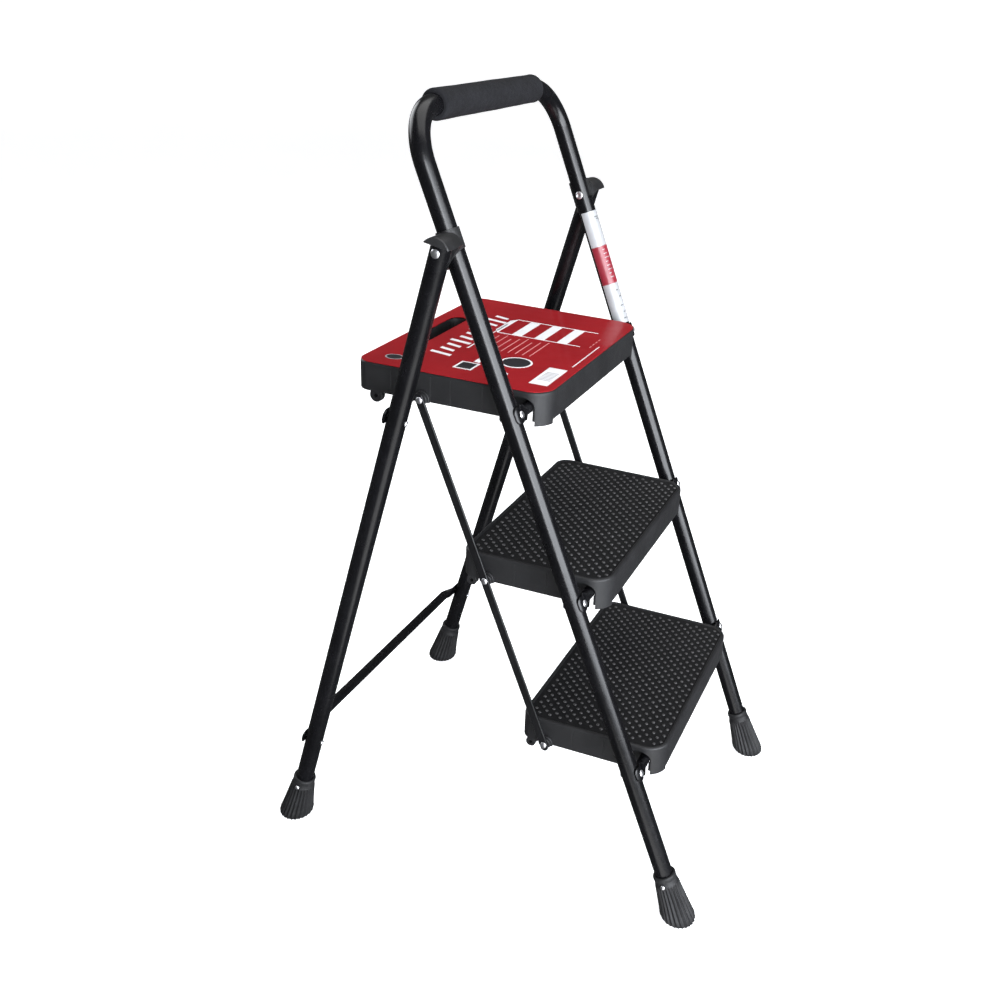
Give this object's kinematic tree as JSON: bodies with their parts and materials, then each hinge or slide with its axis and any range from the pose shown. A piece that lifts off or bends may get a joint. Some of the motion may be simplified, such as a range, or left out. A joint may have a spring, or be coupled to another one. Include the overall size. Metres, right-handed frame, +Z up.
{
  "type": "folding step ladder",
  "caption": "Folding step ladder with plastic treads, a hooped handrail with a foam grip, riveted tube frames and rubber feet; treads and rear frame fold flat together.",
  "frame": {"origin": "centre of the bounding box's bottom, on the floor midway between the four feet", "axes": "+X across the ladder to the right as seen by someone climbing it, +Y from the climbing side to the rear legs, +Z up"},
  "size_m": [0.5276, 0.6467, 1.0489],
  "materials": {
    "powder_black": "semi-gloss black powder coat",
    "grip_foam": "matte charcoal foam",
    "cap_plastic": "moulded black plastic",
    "tread_plastic": "moulded dark grey plastic, finely textured",
    "foot_rubber": "ribbed black rubber",
    "zinc_rivet": "bright zinc plate",
    "card_red": "glossy laminated card",
    "label_white": "satin film label"
  },
  "bodies": {
    "front_frame": {"front_tube": "powder_black", "foam_grip": "grip_foam", "leg_label": "label_white", "top_crossbar": "powder_black", "middle_crossbar": "powder_black", "lower_crossbar": "powder_black", "top_crossbar_rivet_left": "zinc_rivet", "top_crossbar_rivet_right": "zinc_rivet", "middle_crossbar_rivet_left": "zinc_rivet", "middle_crossbar_rivet_right": "zinc_rivet", "lower_crossbar_rivet_left": "zinc_rivet", "lower_crossbar_rivet_right": "zinc_rivet", "hinge_cap_left": "cap_plastic", "hinge_cap_right": "cap_plastic", "hinge_rivet_left": "zinc_rivet", "hinge_rivet_right": "zinc_rivet", "front_foot_left": "foot_rubber", "front_foot_right": "foot_rubber", "front_foot_rivet_left": "zinc_rivet", "front_foot_rivet_right": "zinc_rivet"},
    "rear_frame": {"rear_leg_left": "powder_black", "rear_leg_right": "powder_black", "rear_upper_bar": "powder_black", "rear_lower_bar": "powder_black", "rear_upper_bar_rivet_left": "zinc_rivet", "rear_upper_bar_rivet_right": "zinc_rivet", "rear_lower_bar_rivet_left": "zinc_rivet", "rear_lower_bar_rivet_right": "zinc_rivet", "rear_foot_left": "foot_rubber", "rear_foot_right": "foot_rubber", "rear_foot_rivet_left": "zinc_rivet", "rear_foot_rivet_right": "zinc_rivet"},
    "top_tread": {"top_tread": "tread_plastic", "printed_card": "card_red", "top_link_rivet_left": "zinc_rivet", "top_link_rivet_right": "zinc_rivet"},
    "middle_tread": {"middle_tread": "tread_plastic", "middle_link_rivet_left": "zinc_rivet", "middle_link_rivet_right": "zinc_rivet"},
    "lower_tread": {"lower_tread": "tread_plastic", "lower_link_rivet_left": "zinc_rivet", "lower_link_rivet_right": "zinc_rivet"},
    "left_link": {"side_link_left": "powder_black"},
    "right_link": {"side_link_right": "powder_black"}
  },
  "joints": [
    {"name": "rear_frame_fold", "type": "hinge", "parent": "front_frame", "child": "rear_frame", "pos_m": [0, 0.06125, 0.886], "axis": [-1, 0, 0], "range_deg": [0, 33.5]},
    {"name": "top_tread_fold", "type": "hinge", "parent": "front_frame", "child": "top_tread", "pos_m": [0, -0.02587, 0.695], "axis": [1, 0, 0], "range_deg": [0, 67.7]},
    {"name": "middle_tread_fold", "type": "hinge", "parent": "front_frame", "child": "middle_tread", "pos_m": [0, -0.12218, 0.459], "axis": [1, 0, 0], "range_deg": [0, 67.7]},
    {"name": "lower_tread_fold", "type": "hinge", "parent": "front_frame", "child": "lower_tread", "pos_m": [0, -0.21849, 0.223], "axis": [1, 0, 0], "range_deg": [0, 67.7]},
    {"name": "left_link_pivot", "type": "hinge", "parent": "top_tread", "child": "left_link", "pos_m": [-0.1858, 0.11673, 0.681], "axis": [-1, 0, 0], "range_deg": [0, 67.7]},
    {"name": "right_link_pivot", "type": "hinge", "parent": "top_tread", "child": "right_link", "pos_m": [0.1858, 0.11673, 0.681], "axis": [-1, 0, 0], "range_deg": [0, 67.7]}
  ],
  "couplings": [
    {"joint": "top_tread_fold", "follows": "rear_frame_fold", "ratio": 2.02},
    {"joint": "middle_tread_fold", "follows": "rear_frame_fold", "ratio": 2.02},
    {"joint": "lower_tread_fold", "follows": "rear_frame_fold", "ratio": 2.02},
    {"joint": "left_link_pivot", "follows": "rear_frame_fold", "ratio": 2.02},
    {"joint": "right_link_pivot", "follows": "rear_frame_fold", "ratio": 2.02}
  ]
}
